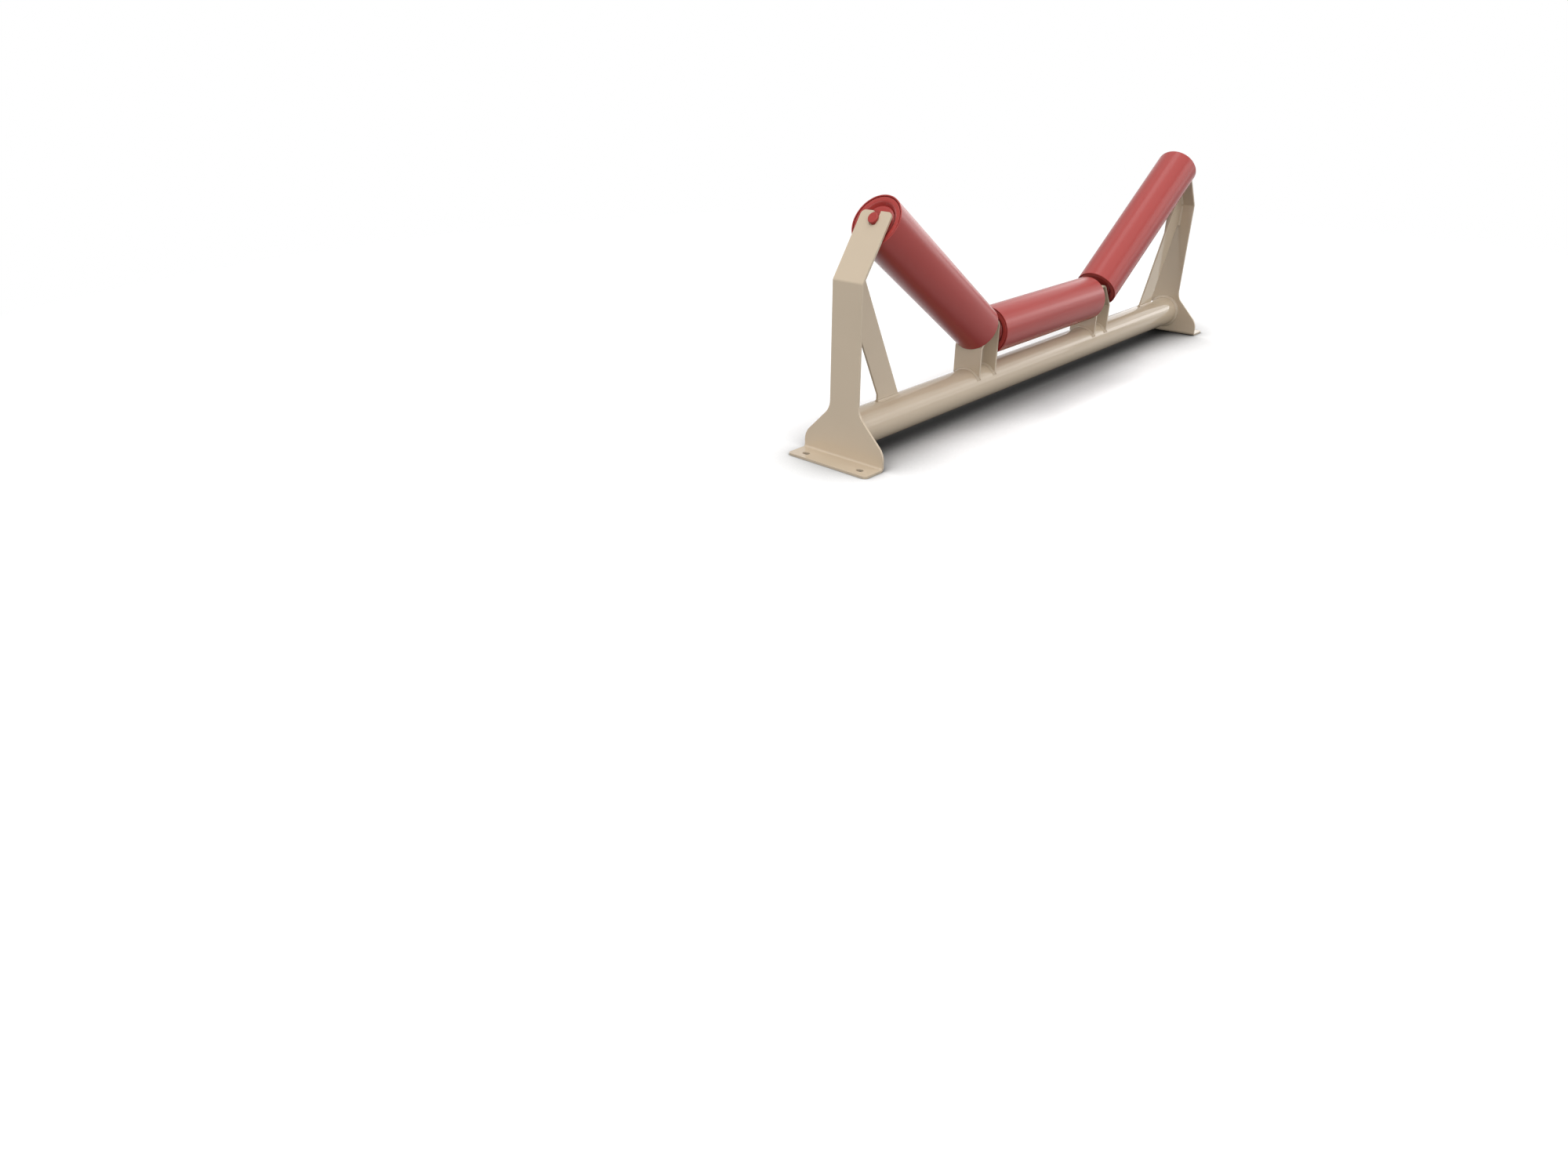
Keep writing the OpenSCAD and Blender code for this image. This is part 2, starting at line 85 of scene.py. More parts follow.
PLATE_T = 5 * MM
PIPE_WALL = 5 * MM
TROUGH_ANGLE = math.radians(35)
FOLD_H = 356 * MM
FOLD_RELIEF = 3 * MM
BRACE_FOOT = 102 * MM
BRACE_NIB_H = 299 * MM

# ---- Sizes of a roller's end, from the centre line out and from the tube's end in ----

TUBE_WALL = 4 * MM
RIM_W = 2.6 * MM
RIM_DEPTH = 3.2 * MM
CUP_T = 3 * MM
CUP_IN = 0.8 * MM
SKIRT_LEN = 16 * MM
DISH_W = 5.5 * MM
DISH_H = 7 * MM
POCKET_R = 35.5 * MM
BEARING_IN = 15 * MM
BEARING_W = 15 * MM
BEARING_R = 26 * MM
LIP_W = 3.5 * MM
SHAFT_R = 12.5 * MM
COVER_R = 34 * MM
COVER_RIM_R = 35.2 * MM
COVER_ROLL = 3.5 * MM
COVER_DROP = 2.2 * MM
COVER_IN = 5 * MM
COVER_T = 2.5 * MM
CLIP_T = 1.2 * MM
HUB_T = 3 * MM
FIN_T = 1.5 * MM
FIN_PITCH = 3 * MM
FIN_LEN = 4.2 * MM

# ---- Sizes of the welds ----

RING_WELD = 6 * MM
SMALL_WELD = 4 * MM
RIPPLE_PITCH = 2.6 * MM
RIPPLE_RISE = 0.05 * MM
BEAD_SINK = 0.6 * MM
# How far out the centre of the hollow arc lies, as a share of the weld's size
WELD_HOLLOW = 1.3
PATH_STEPS = 48
SECTION_POINTS = 9
POINTS_IN_RIPPLE = 6
# How far a ripple trails at the walls, and how far its place wanders, in pitches
RIPPLE_TRAIL = 0.9
RIPPLE_WANDER = 1.5
# How much the bead swells along its length, in ripple rises
RIPPLE_SWELL = 1.2
WANDER_SCALE = 120

# ---- Finish of the edges and curves ----

TURNED_SIDES = 144
ARC_STEP = math.radians(9)
SHEET_EDGE = 0.7 * MM
SHAFT_EDGE = 0.5 * MM
EDGE_STEPS = 3
FLATS_WEIGHT = 100
MERGE_GAP = 0.002 * MM
FLAT_ANGLE = math.radians(0.2)
CREASE_ANGLE = math.radians(28)

SIDES = {"left": -1, "right": 1}
ROLLERS = {"left_wing": "left_wing_spin", "centre": "centre_spin", "right_wing": "right_wing_spin"}
scene = bpy.context.scene


# ---- Camera ----

LENS = 23.14
CAMERA_PLACE = (-2.2499, -1.2362, 0.7402)
# Degrees below the horizon, and degrees from the belt's travel towards the right end
CAMERA_DOWN = 28.074
CAMERA_TURN = 47.137


def set_camera():
    """A wide lens off the left end and in front of the row, looking down and across it."""
    lens = bpy.data.cameras.new("camera")
    lens.sensor_width = 36
    lens.lens = LENS
    lens.clip_end = 200
    camera = bpy.data.objects.new("camera", lens)
    camera.location = CAMERA_PLACE
    camera.rotation_euler = (math.radians(90 - CAMERA_DOWN), 0, math.radians(-CAMERA_TURN))
    scene.collection.objects.link(camera)
    scene.camera = camera


# ---- Materials ----

class Finish:
    """A material whose pattern lies on Object coordinates, with short names for its nodes."""

    def __init__(self, name):
        self.material = bpy.data.materials.new(name)
        self.material.use_nodes = True
        self.nodes = self.material.node_tree.nodes
        self.links = self.material.node_tree.links
        self.shader = self.nodes["Principled BSDF"]
        self.place = self.nodes.new("ShaderNodeTexCoord").outputs["Object"]

    def stretched(self, scale):
        mapping = self.nodes.new("ShaderNodeMapping")
        mapping.inputs["Scale"].default_value = scale
        self.links.new(self.place, mapping.inputs["Vector"])
        return mapping.outputs["Vector"]

    def noise(self, scale, detail=2.0, place=None):
        node = self.nodes.new("ShaderNodeTexNoise")
        node.inputs["Scale"].default_value = scale
        node.inputs["Detail"].default_value = detail
        self.links.new(place or self.place, node.inputs["Vector"])
        return node.outputs["Fac"]

    def spread(self, value, low, high, start=0.3, end=0.7):
        node = self.nodes.new("ShaderNodeMapRange")
        node.inputs["From Min"].default_value = start
        node.inputs["From Max"].default_value = end
        node.inputs["To Min"].default_value = low
        node.inputs["To Max"].default_value = high
        self.links.new(value, node.inputs["Value"])
        return node.outputs["Result"]

    def blend(self, share, first, second):
        node = self.nodes.new("ShaderNodeMix")
        node.data_type = "RGBA"
        for socket, value in ((node.inputs["A"], first), (node.inputs["B"], second)):
            if isinstance(value, tuple):
                socket.default_value = (*value, 1)
            else:
                self.links.new(value, socket)
        self.links.new(share, node.inputs["Factor"])
        return node.outputs["Result"]

    def colour(self, value):
        self.links.new(value, self.shader.inputs["Base Color"])

    def roughness(self, value):
        self.links.new(value, self.shader.inputs["Roughness"])

    def relief(self, height, depth):
        node = self.nodes.new("ShaderNodeBump")
        node.inputs["Distance"].default_value = depth
        self.links.new(height, node.inputs["Height"])
        self.links.new(node.outputs["Normal"], self.shader.inputs["Normal"])


def shade(colour, factor):
    return tuple(channel * factor for channel in colour)


def enamel(name, colour, rough, peel, gloss):
    """Sprayed enamel: a slow drift in colour and gloss, and long, shallow waves where the spray dried."""
    finish = Finish(name)
    drift = finish.spread(finish.noise(scale=7, detail=3), 0, 1)
    finish.colour(finish.blend(drift, shade(colour, 0.985), shade(colour, 1.015)))
    finish.roughness(finish.spread(finish.noise(scale=40), rough - 0.01, rough + 0.01))
    finish.relief(finish.noise(scale=120, detail=0), peel)
    finish.shader.inputs["Specular IOR Level"].default_value = gloss
    return finish.material


def bare_steel(name, colour, rough, grain):
    """Ground or turned steel, with the fine lines of the tool."""
    finish = Finish(name)
    lines = finish.noise(scale=1, detail=4, place=finish.stretched(grain))
    finish.colour(finish.blend(finish.spread(lines, 0, 1), shade(colour, 0.86), colour))
    finish.roughness(finish.spread(lines, rough - 0.06, rough + 0.08))
    finish.relief(lines, 0.02 * MM)
    finish.shader.inputs["Metallic"].default_value = 1
    return finish.material


def moulding(name, colour, rough):
    """Moulded plastic with the fine grain of its tool."""
    finish = Finish(name)
    grain = finish.noise(scale=1500)
    finish.colour(finish.blend(finish.spread(grain, 0, 1), shade(colour, 0.8), shade(colour, 1.15)))
    finish.roughness(finish.spread(grain, rough - 0.05, rough + 0.08))
    finish.relief(grain, 0.03 * MM)
    return finish.material


BEIGE = (0.548, 0.450, 0.335)
RED = (0.345, 0.041, 0.035)

frame_enamel = enamel("frame_enamel", BEIGE, rough=0.06, peel=0.0004 * MM, gloss=0.3)
roller_enamel = enamel("roller_enamel", RED, rough=0.25, peel=0.0003 * MM, gloss=0.25)
race_steel = bare_steel("race_steel", (0.60, 0.60, 0.62), rough=0.25, grain=(60, 60, 2500))
ball_steel = bare_steel("ball_steel", (0.74, 0.74, 0.76), rough=0.10, grain=(300, 300, 300))
spring_steel = bare_steel("spring_steel", (0.16, 0.16, 0.18), rough=0.38, grain=(400, 400, 900))
cage_plastic = moulding("cage_plastic", (0.06, 0.06, 0.065), rough=0.45)
seal_plastic = moulding("seal_plastic", (0.035, 0.035, 0.04), rough=0.55)

FINISH_OF = {
    "outer_races": race_steel,
    "inner_races": race_steel,
    "balls": ball_steel,
    "ball_cages": cage_plastic,
    "turning_seals": seal_plastic,
    "circlips": spring_steel,
}


# ---- Making pieces ----

def add_piece(name, mesh, material, node):
    """A finished mesh takes the place of a CAD node and rides on its body."""
    mesh.name = name
    mesh.materials.clear()
    mesh.materials.append(material)
    piece = bpy.data.objects.new(name, mesh)
    scene.collection.objects.link(piece)
    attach(piece, frame["nodes"][node]["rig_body"])
    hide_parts(node)
    return piece


def blank_of(data):
    """A passing object that carries modifiers until its mesh is taken from it."""
    blank = bpy.data.objects.new("blank", data)
    scene.collection.objects.link(blank)
    return blank


def taken_from(blank):
    """The mesh of a blank with its modifiers worked in. The blank goes."""
    bpy.context.view_layer.update()
    mesh = bpy.data.meshes.new_from_object(blank.evaluated_get(bpy.context.evaluated_depsgraph_get()))
    bpy.data.objects.remove(blank)
    return mesh


def with_flats(blank):
    """Smooth shading that leaves the large faces flat."""
    blank.data.shade_smooth()
    blank.modifiers.new("flats", "WEIGHTED_NORMAL").weight = FLATS_WEIGHT
    return taken_from(blank)


def softened(node, edge):
    """A CAD solid with whole flat faces again, and its cut edges rounded as a coat of paint does it."""
    shape = bmesh.new()
    shape.from_mesh(frame["nodes"][node].data)
    bmesh.ops.remove_doubles(shape, verts=shape.verts, dist=MERGE_GAP)
    bmesh.ops.dissolve_limit(shape, angle_limit=FLAT_ANGLE, verts=shape.verts, edges=shape.edges)
    mesh = bpy.data.meshes.new(node)
    shape.to_mesh(mesh)
    shape.free()
    blank = blank_of(mesh)
    bevel = blank.modifiers.new("edges", "BEVEL")
    bevel.width = edge
    bevel.segments = EDGE_STEPS
    bevel.limit_method = "ANGLE"
    bevel.angle_limit = CREASE_ANGLE
    bevel.use_clamp_overlap = True
    return with_flats(blank)


def rounded(corners):
    """The outline through corners (across, along, radius), with an arc of that radius at each corner."""
    outline = []
    for i, (x, y, radius) in enumerate(corners):
        corner = Vector((x, y))
        if radius == 0:
            outline.append(corner)
            continue
        before = (Vector(corners[i - 1][:2]) - corner).normalized()
        after = (Vector(corners[(i + 1) % len(corners)][:2]) - corner).normalized()
        half = before.angle(after) / 2
        centre = corner + (before + after).normalized() * radius / math.sin(half)
        start = corner + before * radius / math.tan(half) - centre
        turn = start.angle_signed(corner + after * radius / math.tan(half) - centre)
        steps = max(2, math.ceil(abs(turn) / ARC_STEP))
        outline += [centre + Matrix.Rotation(-turn * k / steps, 2) @ start for k in range(steps + 1)]
    return outline


def turned(outlines, place):
    """Rings turned from closed outlines of (radius, distance along the axis), and put in place."""
    shape = bmesh.new()
    for outline in outlines:
        rings = []
        for side in range(TURNED_SIDES):
            angle = 2 * math.pi * side / TURNED_SIDES
            around = (math.cos(angle), math.sin(angle))
            rings.append([shape.verts.new((r * around[0], r * around[1], z)) for r, z in outline])
        for first, second in zip(rings, rings[1:] + rings[:1]):
            for k in range(len(outline)):
                shape.faces.new((first[k - 1], first[k], second[k], second[k - 1]))
    bmesh.ops.recalc_face_normals(shape, faces=shape.faces)
    mesh = bpy.data.meshes.new("turned")
    shape.to_mesh(mesh)
    shape.free()
    mesh.transform(place)
    return with_flats(blank_of(mesh))


# ---- Rollers ----

def tube_outline():
    """Tube with a rim at each end, set off from the cup by a groove."""
    bore = ROLLER_R - TUBE_WALL
    groove = ROLLER_R - RIM_W
    half = [
        (ROLLER_R, 0, 0.8 * MM),
        (groove, 0, 0.7 * MM),
        (groove, RIM_DEPTH, 0.3 * MM),
        (bore, RIM_DEPTH + groove - bore, 0.5 * MM),
    ]
    return rounded(half + [(r, ROLLER_LEN - z, radius) for r, z, radius in reversed(half)])


def housing_outline():
    """Pressed cup: skirt in the tube, dished face, seal pocket and bearing seat in one sheet."""
    bore = ROLLER_R - TUBE_WALL
    seat_end = BEARING_IN + BEARING_W
    slope = math.atan2(DISH_H, DISH_W)
    face_back = POCKET_R + DISH_W + CUP_T * (1 / math.sin(slope) - 1 / math.tan(slope))
    wall_back = CUP_IN + DISH_H + CUP_T * math.tan((math.pi / 2 - slope) / 2)
    return rounded([
        (bore, CUP_IN + SKIRT_LEN, 0.5 * MM),
        (bore, CUP_IN, 1.2 * MM),
        (POCKET_R + DISH_W, CUP_IN, 6 * MM),
        (POCKET_R, CUP_IN + DISH_H, 2 * MM),
        (POCKET_R, BEARING_IN, 0),
        (BEARING_R, BEARING_IN, 0.4 * MM),
        (BEARING_R, seat_end, 0),
        (BEARING_R - LIP_W, seat_end, 0.4 * MM),
        (BEARING_R - LIP_W, seat_end + CUP_T, 0.6 * MM),
        (BEARING_R + CUP_T, seat_end + CUP_T, 3 * MM),
        (BEARING_R + CUP_T, BEARING_IN + CUP_T, 1 * MM),
        (POCKET_R + CUP_T, BEARING_IN + CUP_T, 3 * MM),
        (POCKET_R + CUP_T, wall_back, 1 * MM),
        (face_back, CUP_IN + CUP_T, 3 * MM),
        (bore - CUP_T, CUP_IN + CUP_T, 1 * MM),
        (bore - CUP_T, CUP_IN + SKIRT_LEN, 0.5 * MM),
    ])


def cover_outline():
    """End cover on the shaft: a flat disc with a rolled edge, a hub and three fins behind it."""
    back = COVER_IN + COVER_T
    corners = [
        (SHAFT_R, BEARING_IN - CLIP_T, 0),
        (SHAFT_R, COVER_IN, 0.3 * MM),
        (COVER_RIM_R - COVER_ROLL, COVER_IN, 3 * MM),
        (COVER_RIM_R, COVER_IN + COVER_DROP, 0.1 * MM),
        (COVER_RIM_R, back, 0),
        (COVER_R, back, 0),
    ]
    for ring in range(3):
        outer = COVER_R - 2 * ring * FIN_PITCH
        corners += [
            (outer, back + FIN_LEN, 0.3 * MM),
            (outer - FIN_T, back + FIN_LEN, 0.3 * MM),
            (outer - FIN_T, back, 0),
            (outer - 2 * FIN_PITCH, back, 0),
        ]
    corners[-1] = (SHAFT_R + HUB_T, back, 0)
    corners.append((SHAFT_R + HUB_T, BEARING_IN - CLIP_T, 0.3 * MM))
    return rounded(corners)


def at_far_end(outline):
    return [(r, ROLLER_LEN - z) for r, z in outline]


def roller_place(joint):
    """From the roller's own frame, Z along its axis from one end of the tube, to the row's frame."""
    axis = Vector(joint["axis"]).normalized()
    start = Vector(joint["pos_m"])
    # A wing's joint lies at the lower end of its tube, the centre roller's at its middle
    if joint["name"] == "centre_spin":
        start -= axis * ROLLER_LEN / 2
    turn = axis.to_track_quat("Z", "Y").to_matrix().to_4x4()
    return Matrix.Translation(start) @ turn


def make_rollers():
    joints = {joint["name"]: joint for joint in frame["joints"]}
    for roller, joint_name in ROLLERS.items():
        place = roller_place(joints[joint_name])
        for part, outline in (("bearing_housings", housing_outline()), ("end_covers", cover_outline())):
            mesh = turned([outline, at_far_end(outline)], place)
            node = f"{roller}_{part}"
            add_piece(f"{roller}_painted_{part}", mesh, roller_enamel, node)
        tube = turned([tube_outline()], place)
        add_piece(f"{roller}_painted_tube", tube, roller_enamel, f"{roller}_tube")
        shaft = softened(f"{roller}_shaft", SHAFT_EDGE)
        add_piece(f"{roller}_painted_shaft", shaft, roller_enamel, f"{roller}_shaft")
        for part, material in FINISH_OF.items():
            for slot in frame["nodes"][f"{roller}_{part}"].material_slots:
                slot.material = material


# ---- Frame ----

def make_pipe():
    outline = rounded([
        (PIPE_R, -PIPE_END, 0.4 * MM),
        (PIPE_R, PIPE_END, 0.4 * MM),
        (PIPE_R - PIPE_WALL, PIPE_END, 0.4 * MM),
        (PIPE_R - PIPE_WALL, -PIPE_END, 0.4 * MM),
    ])
    place = Matrix.Translation((0, 0, PIPE_H)) @ Matrix.Rotation(math.pi / 2, 4, "Y")
    add_piece("painted_cross_pipe", turned([outline], place), frame_enamel, "cross_pipe")


def make_plates():
    for side in SIDES:
        for plate in ("end_bracket", "brace", "inner_bracket"):
            node = f"{side}_{plate}"
            mesh = softened(node, SHEET_EDGE)
            add_piece(f"{side}_painted_{plate}", mesh, frame_enamel, node)


# ---- Welds ----

def bead_tree():
    """Geometry nodes that lay a rippled fillet along a path. Its corner runs along the path."""
    tree = bpy.data.node_groups.new("weld_bead", "GeometryNodeTree")
    face = tree.interface
    face.new_socket("Path", in_out="INPUT", socket_type="NodeSocketGeometry")
    for name in ("Size", "Ripple Pitch", "Ripple Rise"):
        face.new_socket(name, in_out="INPUT", socket_type="NodeSocketFloat")
    face.new_socket("Seed", in_out="INPUT", socket_type="NodeSocketInt")
    face.new_socket("Material", in_out="INPUT", socket_type="NodeSocketMaterial")
    face.new_socket("Bead", in_out="OUTPUT", socket_type="NodeSocketGeometry")

    def node(kind, **settings):
        made = tree.nodes.new(kind)
        for name, value in settings.items():
            setattr(made, name, value)
        return made

    def join(output, target):
        tree.links.new(output, target)

    def maths(operation, first, second=None):
        made = node("ShaderNodeMath", operation=operation)
        for socket, value in zip(made.inputs, (first, second)):
            if value is None:
                continue
            if isinstance(value, (int, float)):
                socket.default_value = value
            else:
                join(value, socket)
        return made.outputs["Value"]

    start = node("NodeGroupInput").outputs
    end = node("NodeGroupOutput").inputs

    # Path: a few points to a ripple, with the distance along it kept for later
    resample = node("GeometryNodeResampleCurve", mode="LENGTH")
    join(start["Path"], resample.inputs["Curve"])
    join(maths("DIVIDE", start["Ripple Pitch"], POINTS_IN_RIPPLE), resample.inputs["Length"])
    upright = node("GeometryNodeSetCurveNormal", mode="Z_UP")
    join(resample.outputs["Curve"], upright.inputs["Curve"])
    run = node("GeometryNodeSplineParameter").outputs["Length"]
    keep_run = node("GeometryNodeCaptureAttribute", domain="POINT")
    keep_run.capture_items.new("FLOAT", "Run")
    join(upright.outputs["Curve"], keep_run.inputs["Geometry"])
    join(run, keep_run.inputs["Run"])

    # Section: a quarter circle with its centre, pulled in to the hollow arc that meets both walls
    # a size away from the corner
    section = node("GeometryNodeCurveArc", mode="RADIUS")
    section.inputs["Resolution"].default_value = SECTION_POINTS
    section.inputs["Start Angle"].default_value = -math.pi / 2
    section.inputs["Sweep Angle"].default_value = math.pi / 2
    section.inputs["Connect Center"].default_value = True
    join(start["Size"], section.inputs["Radius"])
    spot = node("ShaderNodeSeparateXYZ")
    position = node("GeometryNodeInputPosition").outputs["Position"]
    join(position, spot.inputs["Vector"])
    off_side = spot.outputs["X"]
    off_wall = maths("MULTIPLY", spot.outputs["Y"], -1)
    stand_off = maths("DIVIDE", maths("MINIMUM", off_side, off_wall), start["Size"])
    lean = maths("DIVIDE", maths("SUBTRACT", off_side, off_wall), start["Size"])
    keep_spot = node("GeometryNodeCaptureAttribute", domain="POINT")
    keep_spot.capture_items.new("FLOAT", "Stand Off")
    keep_spot.capture_items.new("FLOAT", "Lean")
    join(section.outputs["Curve"], keep_spot.inputs["Geometry"])
    join(stand_off, keep_spot.inputs["Stand Off"])
    join(lean, keep_spot.inputs["Lean"])
    # Each point slides towards the corner and onto the arc, where its line from the corner first
    # meets the arc's circle. Lengths are in shares of the weld's size.
    reach = maths("DIVIDE", maths("ADD", off_side, off_wall), start["Size"])
    along = maths("MULTIPLY", reach, WELD_HOLLOW)
    along_squared = maths("MULTIPLY", along, along)
    tangent_squared = 2 * WELD_HOLLOW - 1
    root = maths("SQRT", maths("MAXIMUM", maths("SUBTRACT", along_squared, tangent_squared), 0))
    pulled = node("ShaderNodeVectorMath", operation="SCALE")
    join(position, pulled.inputs["Vector"])
    join(maths("SUBTRACT", along, root), pulled.inputs["Scale"])
    hollow = node("GeometryNodeSetPosition")
    join(keep_spot.outputs["Geometry"], hollow.inputs["Geometry"])
    join(pulled.outputs["Vector"], hollow.inputs["Position"])

    sweep = node("GeometryNodeCurveToMesh")
    sweep.inputs["Fill Caps"].default_value = True
    join(keep_run.outputs["Geometry"], sweep.inputs["Curve"])
    join(hollow.outputs["Geometry"], sweep.inputs["Profile Curve"])

    # Ripples: crescents that trail at both walls, a little uneven along the bead
    wander = node("ShaderNodeTexNoise", noise_dimensions="4D")
    wander.inputs["Scale"].default_value = WANDER_SCALE
    wander.inputs["Detail"].default_value = 1
    join(start["Seed"], wander.inputs["W"])
    lean_kept = keep_spot.outputs["Lean"]
    trail = maths("MULTIPLY", maths("MULTIPLY", lean_kept, lean_kept), RIPPLE_TRAIL)
    steps = maths("DIVIDE", keep_run.outputs["Run"], start["Ripple Pitch"])
    drift = maths("MULTIPLY", wander.outputs["Fac"], RIPPLE_WANDER)
    phase = maths("ADD", maths("ADD", steps, trail), drift)
    wave = maths("ABSOLUTE", maths("SINE", maths("MULTIPLY", phase, math.pi)))
    swell = maths("ADD", wave, maths("MULTIPLY", wander.outputs["Fac"], RIPPLE_SWELL))
    mask = maths("MULTIPLY", keep_spot.outputs["Stand Off"], math.sqrt(2))
    rise = maths("MULTIPLY", maths("MULTIPLY", swell, mask), start["Ripple Rise"])
    outwards = node("ShaderNodeVectorMath", operation="SCALE")
    join(node("GeometryNodeInputNormal").outputs["Normal"], outwards.inputs["Vector"])
    join(rise, outwards.inputs["Scale"])
    lift = node("GeometryNodeSetPosition")
    join(sweep.outputs["Mesh"], lift.inputs["Geometry"])
    join(outwards.outputs["Vector"], lift.inputs["Offset"])

    real = node("GeometryNodeRealizeInstances")
    join(lift.outputs["Geometry"], real.inputs["Geometry"])
    paint = node("GeometryNodeSetMaterial")
    join(real.outputs["Geometry"], paint.inputs["Geometry"])
    join(start["Material"], paint.inputs["Material"])
    join(paint.outputs["Geometry"], end["Bead"])
    return tree


def socket_ids(tree):
    return {item.name: item.identifier for item in tree.interface.items_tree if item.in_out == "INPUT"}


def lay_bead(tree, points, closed, size, seed, place):
    """One bead along a path in the plane of its own X and Y, between a wall and that plane."""
    path = bpy.data.curves.new("path", "CURVE")
    path.dimensions = "3D"
    spline = path.splines.new("POLY")
    spline.points.add(len(points) - 1)
    for point, (x, y) in zip(spline.points, points):
        point.co = (x, y, 0, 1)
    spline.use_cyclic_u = closed
    blank = blank_of(path)
    nodes = blank.modifiers.new("bead", "NODES")
    nodes.node_group = tree
    ids = socket_ids(tree)
    nodes[ids["Size"]] = size
    nodes[ids["Ripple Pitch"]] = RIPPLE_PITCH
    nodes[ids["Ripple Rise"]] = RIPPLE_RISE
    nodes[ids["Seed"]] = seed
    nodes[ids["Material"]] = frame_enamel
    mesh = taken_from(blank)
    mesh.transform(place)
    return mesh


def round_pipe(x, facing, half_angle, size):
    """Path, size and place of a bead around the pipe at x, by half_angle to each side of its top."""
    angles = [half_angle * (2 * k / PATH_STEPS - 1) for k in range(PATH_STEPS + 1)]
    closed = half_angle == math.pi
    if closed:
        del angles[0]
    points = [(PIPE_R * math.cos(a), PIPE_R * math.sin(a)) for a in angles]
    turn = Matrix(((0, 0, facing), (0, -facing, 0), (1, 0, 0))).to_4x4()
    return points, closed, size, Matrix.Translation((x, 0, PIPE_H)) @ turn


def straight(start, end, off_side, off_wall, size):
    """Path, size and place of a bead from start to end, in the corner of a side and a wall."""
    run = end - start
    # Laid from the other end where the bead's three axes would be left-handed
    if run.cross(-off_side).dot(off_wall) < 0:
        start, run = end, -run
    axes = Matrix((run.normalized(), -off_side, off_wall)).transposed().to_4x4()
    return [(0, 0), (run.length, 0)], False, size, Matrix.Translation(start) @ axes


def along_brace(s, face):
    """The three beads on one face of a brace: on the pipe, up the post and up the arm."""
    side = Vector((0, face, 0))
    y = face * BRACE_T / 2
    foot_h = PIPE_H + math.sqrt(PIPE_R ** 2 - y ** 2) - BEAD_SINK
    fold = Vector((s * PIPE_END, y, FOLD_H - PLATE_T * math.tan(TROUGH_ANGLE / 2)))
    up_arm = Vector((-s * math.sin(TROUGH_ANGLE), 0, math.cos(TROUGH_ANGLE)))
    off_arm = Vector((-s * math.cos(TROUGH_ANGLE), 0, -math.sin(TROUGH_ANGLE)))
    arm_top = fold + up_arm * (brace_high.z - fold.z) / up_arm.z
    return [
        straight(Vector((s * brace_low.x, y, foot_h)), Vector((s * (PIPE_END - BRACE_FOOT), y, foot_h)),
                 side, Vector((0, 0, 1)), SMALL_WELD + BEAD_SINK),
        straight(Vector((fold.x, y, BRACE_NIB_H)), fold - Vector((0, 0, FOLD_RELIEF)),
                 side, Vector((-s, 0, 0)), SMALL_WELD),
        straight(fold + up_arm * FOLD_RELIEF, arm_top, side, off_arm, SMALL_WELD),
    ]


def make_welds():
    tree = bead_tree()

    def weld(name, paths):
        shape = bmesh.new()
        for seed, (points, closed, size, place) in enumerate(paths):
            shape.from_mesh(lay_bead(tree, points, closed, size, seed, place))
        mesh = bpy.data.meshes.new(name)
        shape.to_mesh(mesh)
        shape.free()
        add_piece(f"painted_{name}", mesh, frame_enamel, name)

    weld("pipe_end_welds", [round_pipe(s * PIPE_END, -s, math.pi, RING_WELD) for s in SIDES.values()])
    for side, s in SIDES.items():
        faces = [(LEG_X, -s), (LEG_X + PLATE_T, s), (LEAN_X - PLATE_T, -s), (LEAN_X, s)]
        saddles = [round_pipe(s * x, facing, SADDLE_ANGLE, SMALL_WELD) for x, facing in faces]
        weld(f"{side}_saddle_welds", saddles)
        weld(f"{side}_brace_welds", along_brace(s, 1) + along_brace(s, -1))


set_camera()
make_rollers()
make_pipe()
make_plates()
make_welds()


# ---- Floor and light ----

FLOOR_REACH = 40
FLOOR_LEVEL = 1.0
# Level of the floor for the light that it throws back on the object
FLOOR_BOUNCE = 0.15
# Distances between which the floor turns into the white of the backdrop
FLOOR_EDGE = (1.6, 3.2)
# Reach, depth and samples of the painted shade that darkens the floor near the object
SHADE_REACH = 0.2
SHADE_DEPTH = 2.2
SHADE_SAMPLES = 16
ROOM_LIGHT = 0.02
LAMP_DISTANCE = 9
LAMP_AIM = Vector((0, 0, 0.2))
SOFTBOXES = (
    # name, turn, then its lower, upper, left and right edges as angles seen from the row, and radiance
    ("front", 0, 22.5, 44.6, 18, 40, 2.6),
    ("front_right", 0, 22.5, 44.6, 40, 76, 2.1),
    ("front_low", 0, 3, 20, -20, 20, 1.1),
    ("front_low_right", 0, 3, 20, 20, 60, 1.6),
    ("front_high", 0, 46, 84, -20, 20, 1.8),
    ("front_high_right", 0, 46, 65, 20, 60, 0.85),
    ("left", 0, 23, 44, -50, -12, 2.5),
    ("left_low", 0, 3, 20, -60, -20, 3.4),
    ("overhead_left", 0, 85, 105, -50, -20, 5.8),
    ("overhead", 0, 85, 105, -20, 20, 3.2),
    ("overhead_right", 0, 85, 105, 20, 50, 1.4),
    ("back_high", 0, 106, 154, -20, 20, 1.1),
    ("back", 0, 155, 177, -20, 20, 1.5),
    ("left_end", -90, 2, 18, -30, 30, 3.1),
    ("right_end", 90, 2, 24, -25, 25, 1.0),
)


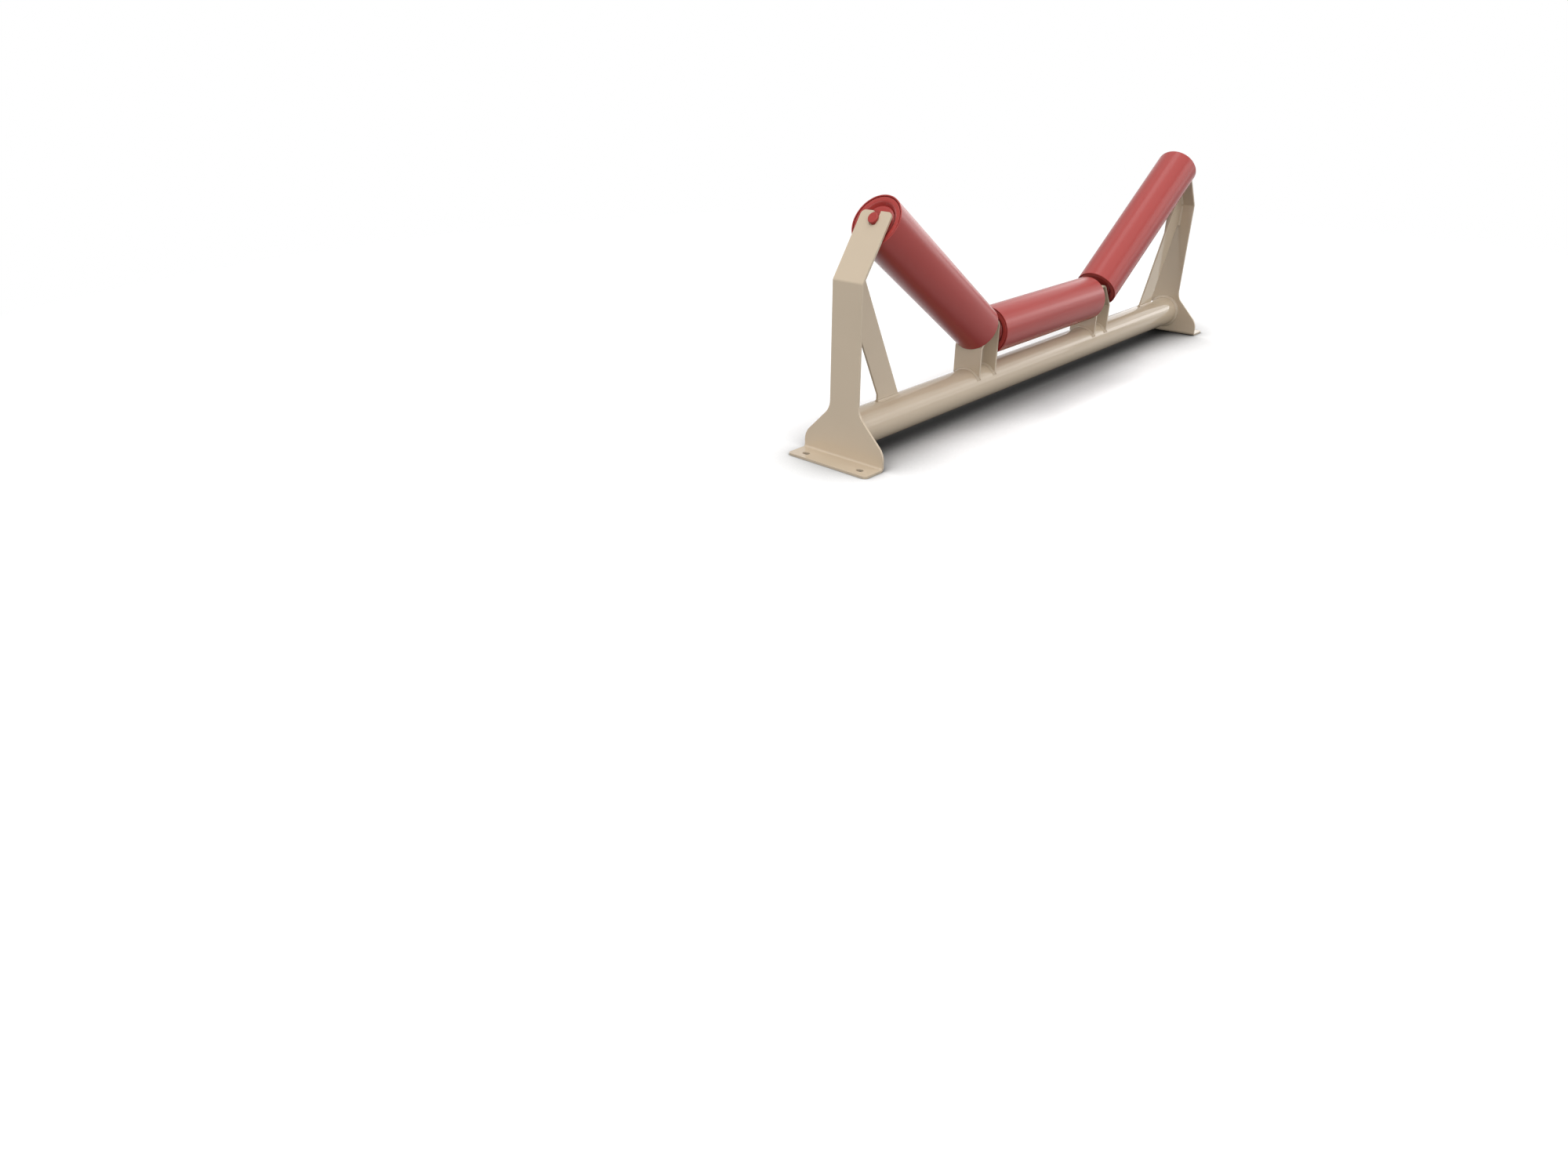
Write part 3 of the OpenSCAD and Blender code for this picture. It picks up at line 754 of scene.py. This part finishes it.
def make_lights():
    """Softboxes that lie along the row. One that is turned stands at an end of the row instead."""
    for name, turn, low, high, left, right, radiance in SOFTBOXES:
        low, high, left, right = (math.radians(angle) for angle in (low, high, left, right))
        middle = (low + high) / 2
        away = Vector((0, -math.cos(middle), math.sin(middle)))
        along = Vector((1, 0, 0))
        start, end = LAMP_DISTANCE * math.tan(left), LAMP_DISTANCE * math.tan(right)
        light = bpy.data.lights.new(name, "AREA")
        light.shape = "RECTANGLE"
        light.size = end - start
        light.size_y = 2 * LAMP_DISTANCE * math.tan((high - low) / 2)
        light.energy = radiance * math.pi * light.size * light.size_y
        lamp = bpy.data.objects.new(name, light)
        place = Matrix((along, away.cross(along), away)).transposed().to_4x4()
        place.translation = away * LAMP_DISTANCE + along * (start + end) / 2
        turned_place = Matrix.Rotation(math.radians(turn), 4, "Z") @ place
        lamp.matrix_world = Matrix.Translation(LAMP_AIM) @ turned_place
        scene.collection.objects.link(lamp)


def seen_share(nodes, links):
    """1 on rays from the camera, and on those that a mirror or glass passes on from it."""
    rays = nodes.new("ShaderNodeLightPath")
    share = rays.outputs["Is Camera Ray"]
    for kind in ("Is Glossy Ray", "Is Transmission Ray"):
        either = nodes.new("ShaderNodeMath")
        either.operation = "MAXIMUM"
        links.new(share, either.inputs[0])
        links.new(rays.outputs[kind], either.inputs[1])
        share = either.outputs["Value"]
    return share


def make_floor():
    mesh = bpy.data.meshes.new("floor")
    corners = [(x * FLOOR_REACH, y * FLOOR_REACH, 0) for x, y in ((-1, -1), (1, -1), (1, 1), (-1, 1))]
    mesh.from_pydata(corners, [], [(0, 1, 2, 3)])
    floor = bpy.data.objects.new("floor", mesh)
    scene.collection.objects.link(floor)
    finish = Finish("floor")
    nodes, links = finish.nodes, finish.links
    nodes.remove(finish.shader)

    def mixed(share, first, second):
        mix = nodes.new("ShaderNodeMixShader")
        links.new(share, mix.inputs["Fac"])
        links.new(first, mix.inputs[1])
        links.new(second, mix.inputs[2])
        return mix.outputs["Shader"]

    # Painted shade: what is seen of the floor is darker close to the object, the more the object closes
    # it in
    painted_shade_occlusion = nodes.new("ShaderNodeAmbientOcclusion")
    painted_shade_occlusion.samples = SHADE_SAMPLES
    painted_shade_occlusion.inputs["Distance"].default_value = SHADE_REACH
    deeper = nodes.new("ShaderNodeMath")
    deeper.operation = "POWER"
    deeper.inputs[1].default_value = SHADE_DEPTH
    links.new(painted_shade_occlusion.outputs["AO"], deeper.inputs[0])
    shaded = nodes.new("ShaderNodeBsdfDiffuse")
    level = finish.spread(deeper.outputs["Value"], 0, FLOOR_LEVEL, start=0, end=1)
    links.new(level, shaded.inputs["Color"])
    bounce = nodes.new("ShaderNodeBsdfDiffuse")
    bounce.inputs["Color"].default_value = (FLOOR_BOUNCE, FLOOR_BOUNCE, FLOOR_BOUNCE, 1)
    seen = seen_share(nodes, links)
    beside = mixed(seen, bounce.outputs["BSDF"], shaded.outputs["BSDF"])

    # Further out it turns plain white, like the backdrop
    distance = nodes.new("ShaderNodeVectorMath")
    distance.operation = "LENGTH"
    links.new(finish.place, distance.inputs[0])
    white = nodes.new("ShaderNodeEmission").outputs["Emission"]
    far = finish.spread(distance.outputs["Value"], 0, 1, *FLOOR_EDGE)
    either = nodes.new("ShaderNodeMath")
    either.operation = "MULTIPLY"
    links.new(far, either.inputs[0])
    links.new(seen, either.inputs[1])
    surface = mixed(either.outputs["Value"], beside, white)
    links.new(surface, nodes["Material Output"].inputs["Surface"])
    mesh.materials.append(finish.material)


def make_world():
    """White backdrop for what the camera, a mirror or glass sees, and a faint light for the rest."""
    world = bpy.data.worlds.new("studio")
    world.use_nodes = True
    nodes, links = world.node_tree.nodes, world.node_tree.links
    room = nodes["Background"]
    room.inputs["Color"].default_value = (1, 1, 1, 1)
    room.inputs["Strength"].default_value = ROOM_LIGHT
    backdrop = nodes.new("ShaderNodeBackground")
    backdrop.inputs["Color"].default_value = (1, 1, 1, 1)
    backdrop.inputs["Strength"].default_value = 1
    mix = nodes.new("ShaderNodeMixShader")
    links.new(seen_share(nodes, links), mix.inputs["Fac"])
    links.new(room.outputs["Background"], mix.inputs[1])
    links.new(backdrop.outputs["Background"], mix.inputs[2])
    links.new(mix.outputs["Shader"], nodes["World Output"].inputs["Surface"])
    scene.world = world


make_floor()
make_lights()
make_world()
scene.view_settings.view_transform = "Standard"
